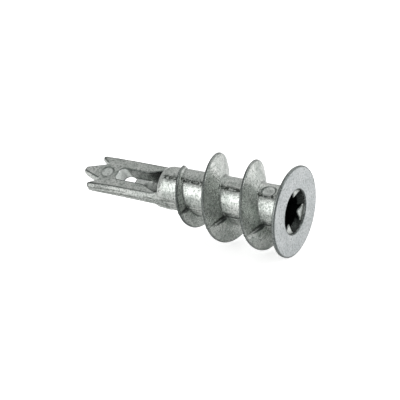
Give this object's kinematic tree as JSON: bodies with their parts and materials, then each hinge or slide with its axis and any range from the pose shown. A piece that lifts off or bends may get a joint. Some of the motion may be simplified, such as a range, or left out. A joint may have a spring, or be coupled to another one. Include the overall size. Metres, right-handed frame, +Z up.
{
  "type": "self-drilling drywall anchor",
  "caption": "Die-cast zinc wall anchor with a flat round head, a ribbed screw bore, a coarse deep thread and a three-spur drill blade with a screw exit window.",
  "frame": {"origin": "on the axis, in the wall plane, which is the outer face of the head when the anchor is screwed home", "axes": "+Y along the axis from the head towards the drill tip, into the wall; +Z up and +X to the right seen from in front of the wall, with the drill blade turned 25 degrees from level about the axis"},
  "size_m": [0.015, 0.039, 0.015],
  "materials": {
    "die_cast_zinc": "satin, as cast, slightly mottled"
  },
  "bodies": {
    "root": {"anchor": "die_cast_zinc"}
  },
  "joints": []
}
